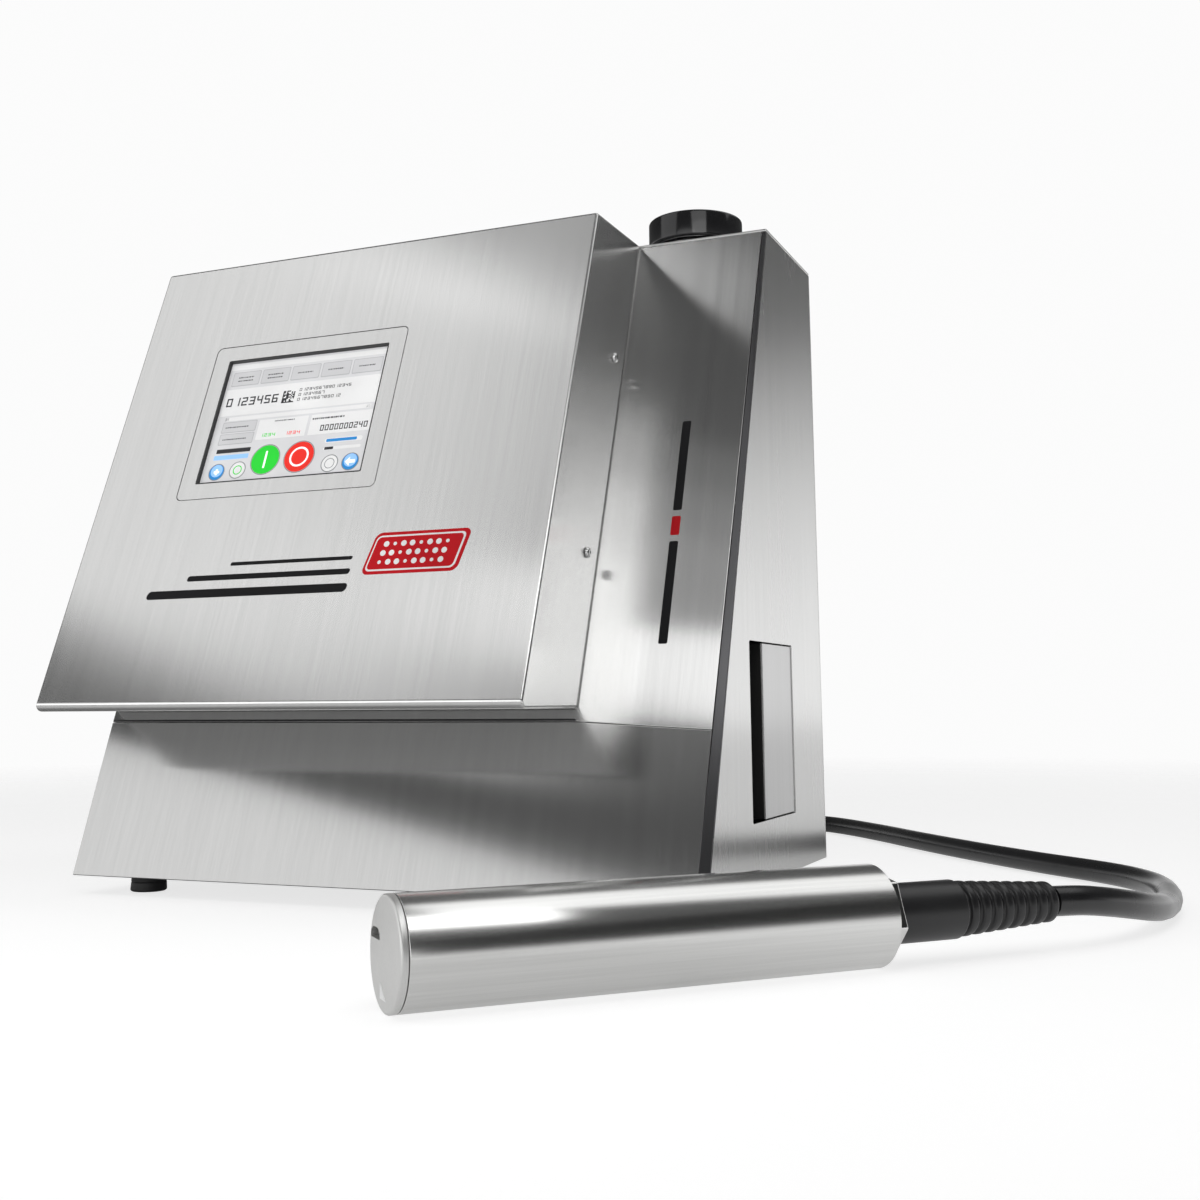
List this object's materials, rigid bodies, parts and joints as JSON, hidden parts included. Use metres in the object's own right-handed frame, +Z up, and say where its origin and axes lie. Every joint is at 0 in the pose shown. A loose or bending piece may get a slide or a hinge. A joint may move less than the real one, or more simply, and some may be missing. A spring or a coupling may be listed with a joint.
{
  "type": "date code inkjet printer",
  "caption": "Stainless cabinet with a leaning display housing, filler cap, rear fittings, and a cylindrical printhead on a long umbilical.",
  "frame": {"origin": "on the bench, under the middle of the box around the cabinet and its printhead, without the umbilical", "axes": "+Z up, the display faces -Y, +X to the right of someone facing the display"},
  "size_m": [0.6036, 0.783, 0.4135],
  "materials": {
    "brushed_steel": "brushed stainless sheet",
    "dark_steel": "dark bent edge",
    "turned_steel": "turned and brushed stainless",
    "screw_steel": "bright zinc screws",
    "zinc_plate": "plated sheet",
    "black_rubber": "matt black",
    "cord_jacket": "smooth black jacket",
    "black_plastic": "satin black",
    "cap_plastic": "polished black",
    "tank_plastic": "natural moulded plastic",
    "screen_glass": "touch glass",
    "board_green": "circuit board",
    "brass": "turned",
    "ceramic": "white ceramic"
  },
  "bodies": {
    "cabinet": {"left_side_panel": "brushed_steel", "right_side_panel": "brushed_steel", "front_upper_sheet": "brushed_steel", "front_lower_sheet": "brushed_steel", "corner_trim": "dark_steel", "top_plate": "brushed_steel", "base_tray": "zinc_plate", "rear_panel": "brushed_steel", "foot_front_left": "black_rubber", "foot_front_right": "black_rubber", "foot_rear_left": "black_rubber", "foot_rear_right": "black_rubber", "intake_louver": "brushed_steel", "intake_filter": "black_rubber", "display_housing": "brushed_steel", "display_frame": "brushed_steel", "touch_glass": "screen_glass", "display_panel": "zinc_plate", "control_board": "board_green", "housing_flange_left": "zinc_plate", "housing_flange_right": "zinc_plate", "housing_screw_left_lower": "screw_steel", "housing_screw_left_upper": "screw_steel", "housing_screw_right_lower": "screw_steel", "housing_screw_right_upper": "screw_steel", "filler_neck": "turned_steel", "mains_inlet": "black_plastic", "switch_frame": "black_plastic", "umbilical_gland": "black_plastic", "signal_socket": "zinc_plate", "fan_frame": "black_plastic", "ink_tank": "tank_plastic", "solvent_tank": "tank_plastic", "power_supply": "zinc_plate", "main_board": "board_green", "ink_filter": "tank_plastic", "valve_block": "turned_steel", "pump_motor": "black_plastic", "pump_head": "turned_steel", "head_rail": "turned_steel", "nozzle_block": "turned_steel", "charge_electrode": "ceramic", "deflection_plate_high": "turned_steel", "deflection_plate_ground": "turned_steel", "gutter_block": "turned_steel", "head_rear_flange": "turned_steel", "head_sleeve": "black_plastic", "strain_relief": "black_rubber", "umbilical_run": "cord_jacket", "umbilical_tail": "cord_jacket", "umbilical_coil": "cord_jacket"},
    "head_cover": {"head_cover_tube": "turned_steel", "head_cover_cap": "turned_steel"},
    "cap_seal": {"cap_gasket": "black_rubber"},
    "cap": {"filler_cap": "cap_plastic"},
    "rocker": {"power_rocker": "black_plastic"},
    "fuse_holder": {"fuse_drawer": "black_plastic"},
    "fan": {"fan_rotor": "black_plastic"},
    "coupling": {"pump_coupling": "brass"}
  },
  "joints": [
    {"name": "head_cover_slide", "type": "slide", "parent": "cabinet", "child": "head_cover", "axis": [-0.6853, -0.7283, 0], "range_m": [0, 0.18]},
    {"name": "cap_lift", "type": "slide", "parent": "cabinet", "child": "cap_seal", "axis": [0, 0, 1], "range_m": [0, 0.00605]},
    {"name": "cap_turn", "type": "hinge", "parent": "cap_seal", "child": "cap", "pos_m": [0.0587, 0.1551, 0.4], "axis": [0, 0, 1], "range_deg": [0, 540]},
    {"name": "power_switch", "type": "hinge", "parent": "cabinet", "child": "rocker", "pos_m": [-0.2103, 0.2156, 0.112], "axis": [1, 0, 0], "range_deg": [-18, 0]},
    {"name": "fuse_drawer_slide", "type": "slide", "parent": "cabinet", "child": "fuse_holder", "axis": [0, 1, 0], "range_m": [0, 0.012]},
    {"name": "fan_spin", "type": "hinge", "parent": "cabinet", "child": "fan", "pos_m": [0.0477, 0.2083, 0.262], "axis": [0, 1, 0], "continuous": true},
    {"name": "pump_spin", "type": "hinge", "parent": "cabinet", "child": "coupling", "pos_m": [-0.1403, 0.1321, 0.205], "axis": [0, 1, 0], "continuous": true}
  ],
  "couplings": [
    {"joint": "cap_lift", "follows": "cap_turn", "m_per_rad": 0.00063662}
  ]
}
